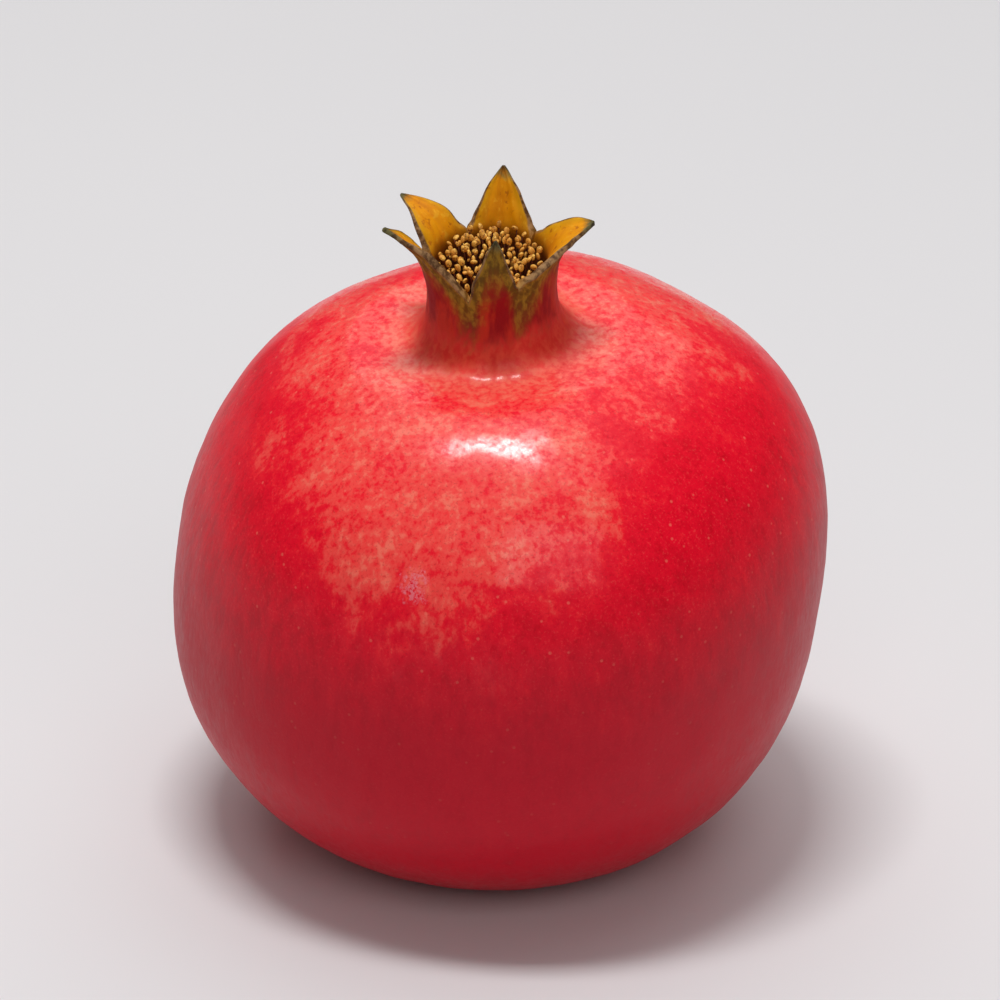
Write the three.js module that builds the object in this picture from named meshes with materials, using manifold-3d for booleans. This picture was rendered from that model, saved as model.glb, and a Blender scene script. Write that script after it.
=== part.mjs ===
// A whole ripe pomegranate, as picked: the fruit with its calyx crown grown in one piece, the dried stamens
// and withered style inside the crown, and the cut stem in its dimple. Millimetres and degrees, +Z up.
// The fruit leans a little and stands on a small flat spot; the origin is at the middle of its underside.
import * as THREE from "three";
import { mergeVertices } from "three/addons/utils/BufferGeometryUtils.js";
import Module from "manifold-3d";

// Driving dimensions.
const gap = 0.3; // kept between pieces that touch
const body = {
  diameter: 103.2,
  equator: 46, // height of the widest level above the stem end
  shoulder: 47, // height of the top above the widest level
  lowerFullness: 2.4, // superellipse exponents: 2 is an ellipse, more is squarer
  upperFullness: 2.34,
};
const lean = { sideways: 2.4, forwards: 8 }; // how far the crown tips towards -X and towards -Y
const flat = 2; // depth of the flat spot the rind stands on
const dimple = { diameter: 16, depth: 5.2 };
const stem = { diameter: 4.2, taper: 0.25, clearance: 0.9 }; // clearance is above the resting plane
const neck = { foot: 34, waist: 20.2, mouth: 21.2, height: 10.8, waistShare: 0.62 };
const calyx = { wall: 1.7, tipWall: 0.55, edgeWall: 0.8, cupDepth: 8.5 };
const sepal = { baseTilt: 8, belly: 0.45, flattening: 0.8, swayCurve: 1.6, bluntness: 0.95 };
const anther = { diameter: 1.35, length: 1.6 };
const filament = { diameter: 0.42, footShare: 0.72 };
const stamens = { count: 54, proud: 0.9, dome: 0.9, backRise: 1.3, uneven: 1 }; // proud is above the rim
const style = { diameter: 0.7, stigma: 1.5, drop: 1.2 }; // drop is below the heads of the stamens

// The five lobes of the crown, one after another from the first cleft. share is how much of the rim each one
// takes; tilt is how far its tip has bent outwards; sway moves the tip sideways.
const firstCleft = 45;
const lobes = [
  { share: 66, length: 9.9, tilt: 27, sway: -0.3 },
  { share: 61, length: 10.3, tilt: 90, sway: 0 },
  { share: 79, length: 12.7, tilt: 52, sway: -4.2 },
  { share: 45, length: 11, tilt: -9, sway: 0.7 },
  { share: 109, length: 8.8, tilt: 80, sway: 4 },
];

// Gentle swellings of the rind: how many there are around the fruit, where the first one is, how much they
// add to the radius, and how high on the fruit they are centred, from -1 at the stem to 1 at the crown.
const swellings = [
  { around: 1, at: -8, rise: 1.35, level: 0.45 },
  { around: 1, at: 186, rise: 2.3, level: -0.35 },
  { around: 3, at: 40, rise: 0.45, level: 0.1 },
  { around: 5, at: 80, rise: 0.5, level: 0.6 },
];

// Mesh fineness.
const columnsPerLobe = 16;
const fine = { dimple: 5, lower: 11, upper: 9, fillet: 5, tube: 3, lobe: 7, cup: 6, filament: 4, around: 6 };

// Sizes worked out from the driving dimensions.
const rad = THREE.MathUtils.degToRad;
const radius = body.diameter / 2;
const top = body.equator + body.shoulder;
const rim = top + neck.height; // height of the clefts between the sepals
const mouth = neck.mouth / 2;
const cup = mouth - calyx.wall; // radius of the cup inside the calyx tube
const shares = lobes.reduce((sum, lobe) => sum + lobe.share, 0);

// Each sepal with the angle of its first cleft and of its middle, and its width round the rim.
let cleft = firstCleft;
const sepals = lobes.map((lobe) => {
  const span = (360 * lobe.share) / shares;
  const from = cleft;
  cleft += span;
  return { ...lobe, span, from, at: from + span / 2 };
});

const skin = new THREE.MeshStandardMaterial({ name: "rind", color: 0xc4142b, roughness: 0.35 });
const antherGold = new THREE.MeshStandardMaterial({ name: "stamen", color: 0xb98a3a, roughness: 0.8 });
const dryBrown = new THREE.MeshStandardMaterial({ name: "style", color: 0x6b4526, roughness: 0.9 });
const wood = new THREE.MeshStandardMaterial({ name: "stem", color: 0x7a5c3c, roughness: 0.9 });

// A steady pseudo-random number from 0 to 1 for a whole number.
function scatter(n) {
  const s = Math.sin(n * 12.9898 + 4.1414) * 43758.5453;
  return s - Math.floor(s);
}

// Height above the widest level of a superellipse quarter, at a distance from the axis.
function quarterHeight(r, high, fullness) {
  return high * (1 - Math.min(1, r / radius) ** fullness) ** (1 / fullness);
}

// Distances from the axis that step evenly round a superellipse quarter, from one distance to another.
function quarterSteps(from, to, fullness, steps) {
  const angleAt = (r) => Math.asin((r / radius) ** (fullness / 2));
  return Array.from({ length: steps }, (_, i) => {
    const angle = THREE.MathUtils.lerp(angleAt(from), angleAt(to), (i + 1) / steps);
    return radius * Math.sin(angle) ** (2 / fullness);
  });
}

// Height of the underside, with the dimple round the stem.
function undersideHeight(r) {
  const inDimple = Math.max(0, 1 - (r / (dimple.diameter / 2)) ** 2);
  return body.equator - quarterHeight(r, body.equator, body.lowerFullness) + dimple.depth * inDimple ** 2;
}

// The outline of the outside, from the stem end up to the rim of the calyx tube.
function outsideProfile() {
  const points = [];
  for (let i = 1; i <= fine.dimple; i++) {
    const r = (dimple.diameter / 2) * (i / fine.dimple);
    points.push(new THREE.Vector2(r, undersideHeight(r)));
  }
  for (const r of quarterSteps(dimple.diameter / 2, radius, body.lowerFullness, fine.lower)) {
    points.push(new THREE.Vector2(r, undersideHeight(r)));
  }
  for (const r of quarterSteps(radius, neck.foot / 2, body.upperFullness, fine.upper)) {
    points.push(new THREE.Vector2(r, body.equator + quarterHeight(r, body.shoulder, body.upperFullness)));
  }
  const [before, last] = points.slice(-2);
  const slope = last.clone().sub(before).normalize();
  const waist = new THREE.Vector2(neck.waist / 2, top + neck.height * neck.waistShare);
  const reach = (neck.foot - neck.waist) / 2;
  const fillet = new THREE.CubicBezierCurve(
    last,
    last.clone().addScaledVector(slope, reach * 0.75),
    new THREE.Vector2(waist.x, top - neck.height * 0.05),
    waist,
  );
  points.push(...fillet.getPoints(fine.fillet).slice(1));
  for (let i = 1; i <= fine.tube; i++) {
    const share = i / fine.tube;
    const r = waist.x + (mouth - waist.x) * share ** 2;
    points.push(new THREE.Vector2(r, waist.y + (rim - waist.y) * share));
  }
  return points;
}

// Height of the cup's floor inside the calyx at a distance from the axis.
function floorHeight(r) {
  const share = Math.min(1, r / cup);
  return rim - calyx.cupDepth * (1 - share ** 3) ** (1 / 3);
}

// A point of the cup's wall or floor.
function onCup(r, angle) {
  return new THREE.Vector3(r * Math.cos(angle), r * Math.sin(angle), floorHeight(r));
}

// Where each column of the mesh stands around the fruit: each lobe has the same number of columns.
function columnAngles() {
  const angles = [];
  for (const lobe of sepals) {
    for (let i = 0; i < columnsPerLobe; i++) {
      angles.push(rad(lobe.from + (lobe.span * i) / columnsPerLobe));
    }
  }
  return angles;
}

// A point of the rind at a place round the fruit, with the gentle swellings added below the crown.
function onRind(r, z, angle) {
  const level = THREE.MathUtils.clamp((z - body.equator) / body.shoulder, -1, 1);
  const fade = THREE.MathUtils.smoothstep(r, dimple.diameter / 2, radius * 0.8);
  let swollen = r;
  for (const s of swellings) {
    const near = Math.exp(-(((level - s.level) / 0.55) ** 2));
    swollen += s.rise * near * fade * Math.cos(s.around * (angle - rad(s.at)));
  }
  return new THREE.Vector3(swollen * Math.cos(angle), swollen * Math.sin(angle), z);
}

// A point on a sepal: across from -1 to 1 between its edges, along from 0 at the rim to 1 at the tip, and
// depth from 0 on the outside to 1 on the inside. The spine is an arc, and the blade is bent around it.
function onSepal(lobe, across, along, depth) {
  const start = rad(sepal.baseTilt);
  const change = rad(lobe.tilt) - start;
  const turn = Math.max(Math.abs(change), rad(1)) * Math.sign(change || 1);
  const tilt = start + turn * along;
  const out = mouth + (lobe.length * (Math.cos(start) - Math.cos(tilt))) / turn;
  const up = rim + (lobe.length * (Math.sin(tilt) - Math.sin(start))) / turn;
  const halfWidth = mouth * rad(lobe.span / 2) * (1 - along) * (1 + sepal.belly * along);
  const curve = (1 - along * sepal.flattening) / mouth;
  const bend = across * halfWidth * curve;
  const thin = THREE.MathUtils.smoothstep(along, 0, 0.8);
  const edge = Math.abs(across) ** 3 * Math.min(1, along * 5);
  const thick = THREE.MathUtils.lerp(calyx.wall, calyx.tipWall, thin);
  const wall = THREE.MathUtils.lerp(thick, Math.min(calyx.edgeWall, thick), edge);
  const side = Math.sin(bend) / curve - wall * depth * Math.sin(bend) + lobe.sway * along ** sepal.swayCurve;
  const inward = (1 - Math.cos(bend)) / curve + wall * depth * Math.cos(bend);
  const middle = rad(lobe.at);
  const outward = new THREE.Vector3(Math.cos(middle), Math.sin(middle), 0);
  const around = new THREE.Vector3(-Math.sin(middle), Math.cos(middle), 0);
  return new THREE.Vector3(0, 0, up + inward * Math.sin(tilt))
    .addScaledVector(outward, out - inward * Math.cos(tilt))
    .addScaledVector(around, side);
}

// Collects numbered points and the faces between them.
class Surface {
  points = [];
  faces = [];
  add(point) {
    return this.points.push(point) - 1;
  }
  quad(a, b, c, d) {
    this.faces.push(a, b, c, a, c, d);
  }
  // Faces between two rows of points that run the same way, seen from outside with upper above lower.
  band(lower, upper, closed) {
    const count = closed ? lower.length : lower.length - 1;
    for (let i = 0; i < count; i++) {
      const next = (i + 1) % lower.length;
      this.quad(lower[i], lower[next], upper[next], upper[i]);
    }
  }
  fan(centre, row, upwards) {
    row.forEach((a, i) => {
      const b = row[(i + 1) % row.length];
      this.faces.push(...(upwards ? [a, b, centre] : [centre, b, a]));
    });
  }
  geometry() {
    const g = new THREE.BufferGeometry();
    g.setAttribute("position", new THREE.Float32BufferAttribute(this.points.flatMap((p) => p.toArray()), 3));
    g.setIndex(this.faces);
    return g;
  }
}

// One lobe of the crown, between its stretch of the outer rim and of the inner rim.
function addSepal(surface, lobe, outerBase, innerBase) {
  const outer = [outerBase];
  const inner = [innerBase];
  for (let j = 1; j <= fine.lobe; j++) {
    const along = (sepal.bluntness * j) / fine.lobe;
    const across = outerBase.map((_, i) => (2 * i) / (outerBase.length - 1) - 1);
    outer.push(across.map((a) => surface.add(onSepal(lobe, a, along, 0))));
    inner.push(across.map((a) => surface.add(onSepal(lobe, a, along, 1))));
  }
  const last = outerBase.length - 1;
  for (let j = 0; j < fine.lobe; j++) {
    surface.band(outer[j], outer[j + 1], false);
    surface.band(inner[j + 1], inner[j], false);
    surface.quad(inner[j][0], outer[j][0], outer[j + 1][0], inner[j + 1][0]);
    surface.quad(outer[j][last], inner[j][last], inner[j + 1][last], outer[j + 1][last]);
  }
  surface.band(outer.at(-1), inner.at(-1), false);
}

// The fruit in one piece: rind, calyx tube, sepals and the cup inside the crown, round its own axis.
function fruitGeometry() {
  const surface = new Surface();
  const angles = columnAngles();
  const rings = outsideProfile().map((p) => angles.map((a) => surface.add(onRind(p.x, p.y, a))));
  surface.fan(surface.add(new THREE.Vector3(0, 0, dimple.depth)), rings[0], false);
  for (let i = 1; i < rings.length; i++) surface.band(rings[i - 1], rings[i], true);

  const cupRings = [];
  for (let i = 0; i < fine.cup; i++) {
    const r = cup * Math.cos((i / fine.cup) * (Math.PI / 2)) ** 0.8;
    cupRings.push(angles.map((a) => surface.add(onCup(r, a))));
  }
  for (let i = 1; i < cupRings.length; i++) surface.band(cupRings[i - 1], cupRings[i], true);
  surface.fan(surface.add(new THREE.Vector3(0, 0, floorHeight(0))), cupRings.at(-1), true);

  sepals.forEach((lobe, k) => {
    const stretch = (ring) => {
      const from = k * columnsPerLobe;
      return Array.from({ length: columnsPerLobe + 1 }, (_, i) => ring[(from + i) % ring.length]);
    };
    addSepal(surface, lobe, stretch(rings.at(-1)), stretch(cupRings[0]));
  });
  return surface.geometry();
}

// A closed rod along a curve that lies flat across the given side. Each station is a share of the curve's
// length and the rod's radius there.
function rodGeometry(curve, side, stations) {
  const surface = new Surface();
  const rows = stations.map(([share, r]) => {
    const normal = side.clone().cross(curve.getTangentAt(share));
    return Array.from({ length: fine.around }, (_, j) => {
      const angle = (j / fine.around) * Math.PI * 2;
      const point = curve.getPointAt(share).addScaledVector(normal, r * Math.cos(angle));
      return surface.add(point.addScaledVector(side, r * Math.sin(angle)));
    });
  });
  for (let i = 1; i < rows.length; i++) surface.band(rows[i - 1], rows[i], true);
  surface.fan(surface.add(curve.getPointAt(stations[0][0])), rows[0], false);
  surface.fan(surface.add(curve.getPointAt(stations.at(-1)[0])), rows.at(-1), true);
  return surface.geometry();
}

// Stations of a thin stalk that ends in a plump head taking up the last part of a curve.
function headedStations(stalk, head, headStart) {
  const stations = [];
  for (let i = 0; i <= fine.filament; i++) {
    stations.push([(headStart * i) / fine.filament, stalk / 2]);
  }
  for (const [share, plump] of [[0.12, 0.7], [0.34, 1], [0.66, 0.98], [0.88, 0.72], [1, 0.3]]) {
    stations.push([THREE.MathUtils.lerp(headStart, 1, share), (head / 2) * plump]);
  }
  return stations;
}

// One dried stamen: a thin filament from the floor of the cup with a plump anther at its head.
function stamenGeometry(n) {
  const angle = n * Math.PI * (3 - Math.sqrt(5));
  const headRadius = (cup - anther.diameter / 2 - gap) * Math.sqrt((n + 1.8) / (stamens.count + 2));
  const footRadius = headRadius * filament.footShare;
  const spread = headRadius / cup;
  const domed = stamens.dome * (1 - spread ** 2) + stamens.backRise * spread * Math.sin(angle);
  const place = (r, z) => new THREE.Vector3(r * Math.cos(angle), r * Math.sin(angle), z);
  const foot = place(footRadius, floorHeight(footRadius) + gap);
  const head = place(headRadius, rim + stamens.proud + domed - stamens.uneven * scatter(n));
  const bow = place(footRadius, THREE.MathUtils.lerp(foot.z, head.z, 0.6));
  const curve = new THREE.QuadraticBezierCurve3(foot, bow, head);
  const side = new THREE.Vector3(-Math.sin(angle), Math.cos(angle), 0);
  const headStart = 1 - anther.length / curve.getLength();
  return rodGeometry(curve, side, headedStations(filament.diameter, anther.diameter, headStart));
}

// The withered style at the middle of the stamens, with its small stigma.
function styleGeometry() {
  const foot = new THREE.Vector3(0, 0, floorHeight(0) + gap);
  const head = new THREE.Vector3(0, 0, rim + stamens.proud - style.drop);
  const curve = new THREE.LineCurve3(foot, head);
  const headStart = 1 - style.stigma / curve.getLength();
  const stations = headedStations(style.diameter, style.stigma, headStart);
  return rodGeometry(curve, new THREE.Vector3(0, 1, 0), stations);
}

// The cut end of the fruit stalk, standing in the dimple and ending short of the resting plane, which crosses
// the fruit's axis at the given height.
function stemGeometry(restHeight) {
  const r = stem.diameter / 2;
  const high = undersideHeight(r) - gap;
  const low = restHeight + stem.clearance;
  const outline = [
    [0, low],
    [r * (1 - stem.taper), low],
    [r * (1 - stem.taper / 2), THREE.MathUtils.lerp(low, high, 0.3)],
    [r * (1 - stem.taper / 2), THREE.MathUtils.lerp(low, high, 0.6)],
    [r, high],
    [0, high],
  ];
  return new THREE.LatheGeometry(
    outline.map(([x, y]) => new THREE.Vector2(x, y)),
    10,
  ).rotateX(Math.PI / 2);
}

const wasm = await Module();
wasm.setup();

// Turns a closed geometry, moved by a matrix, into a solid that can be joined or cut.
function solidOf(geometry, matrix = new THREE.Matrix4()) {
  const bare = new THREE.BufferGeometry();
  bare.setAttribute("position", geometry.getAttribute("position").clone());
  bare.setIndex(geometry.index);
  const merged = mergeVertices(bare.applyMatrix4(matrix), 1e-4);
  return new wasm.Manifold(
    new wasm.Mesh({
      numProp: 3,
      vertProperties: merged.attributes.position.array,
      triVerts: new Uint32Array(merged.index.array),
    }),
  );
}

function geometryOf(solid) {
  const mesh = solid.getMesh();
  const g = new THREE.BufferGeometry();
  g.setAttribute("position", new THREE.BufferAttribute(mesh.vertProperties, 3));
  g.setIndex(new THREE.BufferAttribute(mesh.triVerts, 1));
  return g;
}

function named(name, geometry, material) {
  geometry.computeVertexNormals();
  const mesh = new THREE.Mesh(geometry, material);
  mesh.name = name;
  return mesh;
}

// Leans the fruit on its axis, flattens the rind where it stands, and brings its underside to the origin.
const whole = fruitGeometry();
const leaning = new THREE.Group();
leaning.rotation.set(rad(lean.forwards), -rad(lean.sideways), 0);
leaning.updateMatrix();
const leaned = whole.clone().applyMatrix4(leaning.matrix);
leaned.computeBoundingBox();
leaning.position.z = -leaned.boundingBox.min.z - flat;
leaning.updateMatrix();
const restHeight = -leaning.position.z / leaning.matrix.elements[10];

const ground = new THREE.BoxGeometry(body.diameter * 2, body.diameter * 2, body.diameter);
const groundMatrix = new THREE.Matrix4().makeTranslation(0, 0, -body.diameter / 2);
const groundInFruit = leaning.matrix.clone().invert().multiply(groundMatrix);
const fruit = solidOf(whole).subtract(solidOf(ground, groundInFruit));

leaning.add(named("fruit", geometryOf(fruit), skin));
leaning.add(named("cut_stem", stemGeometry(restHeight), wood));
leaning.add(named("style", styleGeometry(), dryBrown));
for (let n = 1; n <= stamens.count; n++) {
  const name = "stamen_" + String(n).padStart(2, "0");
  leaning.add(named(name, stamenGeometry(n), antherGold));
}

const pomegranate = new THREE.Group();
pomegranate.add(leaning);
const extent = new THREE.Box3().setFromObject(pomegranate, true);
leaning.position.x -= (extent.min.x + extent.max.x) / 2;
leaning.position.y -= (extent.min.y + extent.max.y) / 2;

export default pomegranate;
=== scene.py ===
import math

import bpy
import numpy as np
from mathutils import Matrix, Vector, noise


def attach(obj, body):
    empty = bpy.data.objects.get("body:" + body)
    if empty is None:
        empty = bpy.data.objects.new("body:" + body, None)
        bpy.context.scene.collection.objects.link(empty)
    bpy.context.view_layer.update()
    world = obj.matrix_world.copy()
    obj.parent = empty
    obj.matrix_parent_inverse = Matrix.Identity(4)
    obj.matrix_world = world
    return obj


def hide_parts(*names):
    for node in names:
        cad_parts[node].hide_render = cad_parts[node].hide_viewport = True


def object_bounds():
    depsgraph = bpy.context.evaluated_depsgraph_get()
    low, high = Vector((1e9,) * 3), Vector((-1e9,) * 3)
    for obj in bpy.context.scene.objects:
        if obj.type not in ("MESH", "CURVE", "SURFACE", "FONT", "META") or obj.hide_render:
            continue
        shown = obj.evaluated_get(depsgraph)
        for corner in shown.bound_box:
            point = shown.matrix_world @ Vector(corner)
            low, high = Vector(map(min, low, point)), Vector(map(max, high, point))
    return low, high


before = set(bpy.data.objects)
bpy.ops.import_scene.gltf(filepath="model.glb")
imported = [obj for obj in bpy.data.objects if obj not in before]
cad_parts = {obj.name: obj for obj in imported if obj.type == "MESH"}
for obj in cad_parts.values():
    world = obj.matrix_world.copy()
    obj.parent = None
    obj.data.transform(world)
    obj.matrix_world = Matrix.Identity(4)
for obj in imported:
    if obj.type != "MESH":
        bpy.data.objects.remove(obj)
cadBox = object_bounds()
mm = 0.001
print("frame loaded:", len(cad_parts), "nodes")


class Value:  # one socket of a node tree, so that shader maths reads as ordinary sums
    def __init__(self, shader, socket):
        self.shader, self.socket = shader, socket

    def maths(self, operation, other, swapped=False):
        first, second = (other, self) if swapped else (self, other)
        return self.shader.node("ShaderNodeMath", {"operation": operation}, {0: first, 1: second})

    def __add__(self, other):
        return self.maths("ADD", other)

    def __sub__(self, other):
        return self.maths("SUBTRACT", other)

    def __rsub__(self, other):
        return self.maths("SUBTRACT", other, swapped=True)

    def __mul__(self, other):
        return self.maths("MULTIPLY", other)

    __radd__ = __add__
    __rmul__ = __mul__


class Shader:  # a material with the nodes that feed its Principled surface
    def __init__(self, name):
        self.material = bpy.data.materials.new(name)
        self.material.use_nodes = True
        self.tree = self.material.node_tree
        self.surface = self.tree.nodes["Principled BSDF"]

    def plug(self, socket, value):
        if isinstance(value, Value):
            self.tree.links.new(value.socket, socket)
        else:
            socket.default_value = value

    def node(self, kind, settings=None, values=None, out=0):
        made = self.tree.nodes.new(kind)
        for name, value in (settings or {}).items():
            setattr(made, name, value)
        for key, value in (values or {}).items():
            self.plug(made.inputs[key], value)
        return Value(self, made.outputs[out])

    def set(self, values):  # the sockets of the surface itself
        for name, value in values.items():
            self.plug(self.surface.inputs[name], value)

    def places(self):  # metres in the row frame, because every object sits at the origin
        return self.node("ShaderNodeTexCoord", out="Object")

    def attribute(self, name):
        return self.node("ShaderNodeAttribute", {"attribute_name": name}, out="Vector")

    def parts(self, vector):
        split = self.node("ShaderNodeSeparateXYZ", {}, {0: vector}).socket.node
        return [Value(self, socket) for socket in split.outputs]

    def stretched(self, vector, by):
        return self.node("ShaderNodeVectorMath", {"operation": "MULTIPLY"}, {0: vector, 1: by})

    def grain(self, vector, scale, detail=2.0, rough=0.5, warp=0.0):  # noise round 0.5
        values = {"Vector": vector, "Scale": scale, "Detail": detail}
        values.update({"Roughness": rough, "Distortion": warp})
        return self.node("ShaderNodeTexNoise", {}, values)

    def cells(self, vector, scale, out="Distance"):  # how far the nearest cell's middle is
        return self.node("ShaderNodeTexVoronoi", {}, {"Vector": vector, "Scale": scale}, out=out)

    def step(self, value, low, high):  # 0 at low, 1 at high, smooth between
        if low > high:
            return 1 - self.step(value, high, low)
        settings = {"interpolation_type": "SMOOTHSTEP"}
        return self.node("ShaderNodeMapRange", settings, {0: value, 1: low, 2: high})

    def mix(self, share, first, second):
        values = {0: share, 6: first, 7: second}
        return self.node("ShaderNodeMix", {"data_type": "RGBA"}, values, out=2)

    def bump(self, height, distance, strength):
        values = {"Height": height, "Distance": distance, "Strength": strength}
        return self.node("ShaderNodeBump", {}, values)


def colour(red, green, blue):  # screen values from 0 to 255
    screen = np.array([red, green, blue]) / 255
    linear = np.where(screen <= 0.04045, screen / 12.92, ((screen + 0.055) / 1.055) ** 2.4)
    return (*linear, 1)


def spots(node):  # the different corners of a CAD node
    corners = np.array([v.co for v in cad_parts[node].data.vertices])
    return np.unique(np.round(corners, 6), axis=0)


def smooth(value, low, high):
    share = np.clip((value - low) / (high - low), 0, 1)
    return share * share * (3 - 2 * share)


def noiseAt(points, scale, seed=0.0, octaves=3):  # about -1 to 1 for each point
    offset = Vector((seed * 7.31, seed * 3.17, seed * 5.71))
    return np.array([noise.fractal(Vector(p) * scale + offset, 1.0, 2.0, octaves) for p in points])


def addMesh(name, points, faces, material, attributes=None, smoothShaded=True):
    mesh = bpy.data.meshes.new(name)
    mesh.from_pydata([tuple(p) for p in points], [], faces)
    mesh.validate()
    for label, values in (attributes or {}).items():
        made = mesh.attributes.new(label, "FLOAT_VECTOR", "POINT")
        made.data.foreach_set("vector", np.asarray(values, np.float32).ravel())
    mesh.polygons.foreach_set("use_smooth", [smoothShaded] * len(mesh.polygons))
    mesh.materials.append(material)
    piece = bpy.data.objects.new(name, mesh)
    bpy.context.scene.collection.objects.link(piece)
    return piece


def closedBand(lower, upper):  # quads between two rings of point numbers that run the same way
    nextLower, nextUpper = np.roll(lower, -1), np.roll(upper, -1)
    return np.stack([lower, nextLower, nextUpper, upper], 1).tolist()


def tubeFaces(sides, rows):  # the faces of rings of points along a line, with both ends closed
    faces = []
    for i in range(rows - 1):
        faces += closedBand(np.arange(sides) + i * sides, np.arange(sides) + (i + 1) * sides)
    faces.append(list(range(sides))[::-1])
    faces.append([(rows - 1) * sides + j for j in range(sides)])
    return faces


fruit = {
    "diameter": 103.2 * mm,
    "equator": 46 * mm,  # height of the widest level above the stem end
    "shoulder": 47 * mm,  # height of the top above the widest level
    "lowerFullness": 2.4,  # superellipse exponents
    "upperFullness": 2.34,
    "dimpleDiameter": 16 * mm,
    "dimpleDepth": 5.2 * mm,
    "neckFoot": 47 * mm,
    "footReach": 0.5,  # how far the round of the neck's foot keeps to the shoulder's slope
    "footDepth": 0.6,  # and how low it starts to rise, as a share of the neck's height
    "neckWaist": 20.2 * mm,
    "neckMouth": 21.2 * mm,
    "neckHeight": 10.8 * mm,
    "neckRun": 10.8 * mm,  # along the skin, from the rim to where the neck widens
    "waistShare": 0.62,
    "wall": 1.7 * mm,
    "styleTip": 0.3 * mm,  # how far below the rim the style ends
    "cupDepth": 8.5 * mm,
    "skinSpacing": 0.98 * mm,  # between the rings of the fine mesh
    "neckSpacing": 0.44 * mm,
    "neckMargin": 2 * mm,  # of skin round the neck's foot that has the closer rings too
    "columnsPerSepal": 66,
    "lipRows": 5,  # rows across the rounded margin of a sepal
    "bladeRows": 32,
    "cupRows": 22,
    "floorSoftness": 0.55 * mm,  # how gently the flat spot turns into the round
    "swellReach": 0.55,  # how far a swelling spreads over the levels
    "cleftReach": 0.27,  # radians round a cleft that its rise lifts the rim
}
radius = fruit["diameter"] / 2
top = fruit["equator"] + fruit["shoulder"]
rim = top + fruit["neckHeight"]
mouth = fruit["neckMouth"] / 2
cup = mouth - fruit["wall"]

# The five sepals from the first cleft on: share of the rim, length, tilt and sway of the tip, and how
# thick the rolled margin is.
firstCleft = 45
sepalSizes = [
    {"share": 66, "length": 9.8 * mm, "tilt": 27, "sway": 0.3 * mm, "edge": 0.75 * mm},
    {"share": 61, "length": 9.7 * mm, "tilt": 90, "sway": 0 * mm, "edge": 0.85 * mm},
    {"share": 79, "length": 11.7 * mm, "tilt": 52, "sway": -4.0 * mm, "edge": 1.35 * mm},
    {"share": 45, "length": 10.8 * mm, "tilt": -9, "sway": 0.7 * mm, "edge": 1.25 * mm},
    {"share": 109, "length": 8.4 * mm, "tilt": 80, "sway": 3.7 * mm, "edge": 1.30 * mm},
]
cleftRise = [0, 0, 0, -1.3 * mm, 0.6 * mm]  # how much higher than the rim each cleft starts
# Swellings of the rind: how many round the fruit, where the first is, how much, and at what level.
swellings = [(1, -8, 1.35, 0.45), (1, 186, 2.3, -0.35), (3, 40, 0.45, 0.1), (5, 80, 0.5, 0.6)]

# The fruit's own axis runs through the stem and the style, and starts at the stem end.
styleSpots = spots("style")
axis = Vector(styleSpots.mean(0) - spots("cut_stem").mean(0)).normalized()
styleRise = rim - fruit["styleTip"]
pastTip = (styleSpots @ np.array(axis)).max() - Vector(styleSpots.mean(0)).dot(axis)
stemEnd = Vector(styleSpots.mean(0)) + axis * (pastTip - styleRise)
sideways, forwards = math.asin(-axis.x), math.atan2(-axis.y, axis.z)
toRow = Matrix.Translation(stemEnd) @ Matrix.Rotation(forwards, 4, "X")
toRow = toRow @ Matrix.Rotation(-sideways, 4, "Y")
print("the fruit leans", round(math.degrees(sideways), 2), round(math.degrees(forwards), 2))


def quarter(r, high, fullness):  # height of a superellipse quarter over its widest level
    return high * (1 - np.minimum(1, r / radius) ** fullness) ** (1 / fullness)


def underside(r):
    inDimple = np.maximum(0, 1 - (r / (fruit["dimpleDiameter"] / 2)) ** 2)
    sag = fruit["equator"] - quarter(r, fruit["equator"], fruit["lowerFullness"])
    return sag + fruit["dimpleDepth"] * inDimple ** 2


def cupFloor(r):
    return rim - fruit["cupDepth"] * (1 - np.minimum(1, r / cup) ** 3) ** (1 / 3)


def bezier(a, b, c, d, steps):
    t = np.linspace(0, 1, steps)[:, None]
    return (1 - t) ** 3 * a + 3 * (1 - t) ** 2 * t * b + 3 * (1 - t) * t ** 2 * c + t ** 3 * d


def outline():  # distance from the axis and height, from the stem end up to the rim of the crown's tube
    dense = 600
    lower, upper = fruit["lowerFullness"], fruit["upperFullness"]
    dimpleRadius, foot = fruit["dimpleDiameter"] / 2, fruit["neckFoot"] / 2
    inner = np.linspace(0.02 * mm, dimpleRadius, dense)
    start = math.asin((dimpleRadius / radius) ** (lower / 2))
    r1 = radius * np.sin(np.linspace(start, math.pi / 2, dense)) ** (2 / lower)
    end = math.asin((foot / radius) ** (upper / 2))
    r2 = radius * np.sin(np.linspace(math.pi / 2, end, dense)) ** (2 / upper)
    body = [(inner, underside(inner)), (r1, underside(r1)),
            (r2, fruit["equator"] + quarter(r2, fruit["shoulder"], upper))]
    points = np.concatenate([np.stack(pair, 1) for pair in body])
    slope = points[-1] - points[-2]
    slope = slope / np.linalg.norm(slope)
    waist = np.array([fruit["neckWaist"] / 2, top + fruit["neckHeight"] * fruit["waistShare"]])
    reach = (fruit["neckFoot"] - fruit["neckWaist"]) / 2
    turnIn = points[-1] + slope * reach * fruit["footReach"]
    comeUp = np.array([waist[0], top - fruit["neckHeight"] * fruit["footDepth"]])
    fillet = bezier(points[-1], turnIn, comeUp, waist, 200)
    share = np.linspace(0, 1, 100)
    tube = np.stack([waist[0] + (mouth - waist[0]) * share ** 2, waist[1] + (rim - waist[1]) * share], 1)
    return np.concatenate([points, fillet, tube])


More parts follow.
